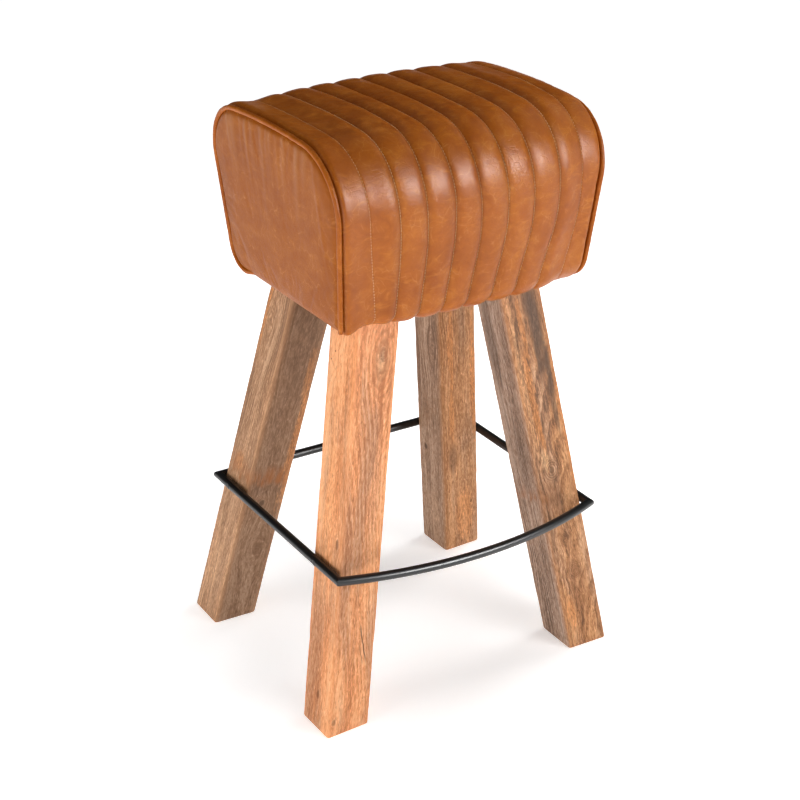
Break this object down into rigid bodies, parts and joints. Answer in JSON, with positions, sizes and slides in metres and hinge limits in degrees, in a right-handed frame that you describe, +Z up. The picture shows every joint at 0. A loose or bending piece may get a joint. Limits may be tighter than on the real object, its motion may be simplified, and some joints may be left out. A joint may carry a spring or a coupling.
{
  "type": "bar stool",
  "caption": "Bar-height stool: padded channelled leather seat block with piped ends on splayed square wooden legs, with a round-bar foot rail ring bowed outward at the front.",
  "frame": {"origin": "on the floor, at the centre of the footprint's bounding box, under the middle of the seat's length", "axes": "+Z up; +X along the seat's long side, to the right seen from the front; -Y is the front, where the foot rail bows outward"},
  "size_m": [0.4638, 0.3998, 0.7886],
  "materials": {
    "leg_wood": "waxed, satin, visible grain and knots",
    "rail_black": "satin black",
    "screw_black": "blackened, semi-gloss",
    "leather_tan": "waxed pull-up leather, soft sheen, mottled",
    "leather_piping": "waxed leather welt",
    "thread": "waxed thread",
    "plywood": "raw plywood",
    "foam": "open-cell upholstery foam",
    "zinc_steel": "zinc plated",
    "insert_brass": "turned",
    "dust_cloth": "matt woven cloth"
  },
  "bodies": {
    "root": {"leg_front_left": "leg_wood", "leg_front_right": "leg_wood", "leg_back_left": "leg_wood", "leg_back_right": "leg_wood", "foot_rail_front": "rail_black", "foot_rail_back": "rail_black", "foot_rail_left": "rail_black", "foot_rail_right": "rail_black", "foot_rail_screws": "screw_black", "leg_bolts": "zinc_steel", "leg_bolt_washers": "zinc_steel", "leg_inserts": "insert_brass", "base_board": "plywood", "side_board_front": "plywood", "side_board_back": "plywood", "top_board": "plywood", "end_former_left": "plywood", "end_former_right": "plywood", "frame_screws": "zinc_steel", "seat_foam": "foam", "end_pad_left": "foam", "end_pad_right": "foam", "seat_cover": "leather_tan", "end_panel_left": "leather_tan", "end_panel_right": "leather_tan", "piping_left": "leather_piping", "piping_right": "leather_piping", "seam_thread": "thread", "dust_cover": "dust_cloth", "cover_staples": "zinc_steel"}
  },
  "joints": []
}
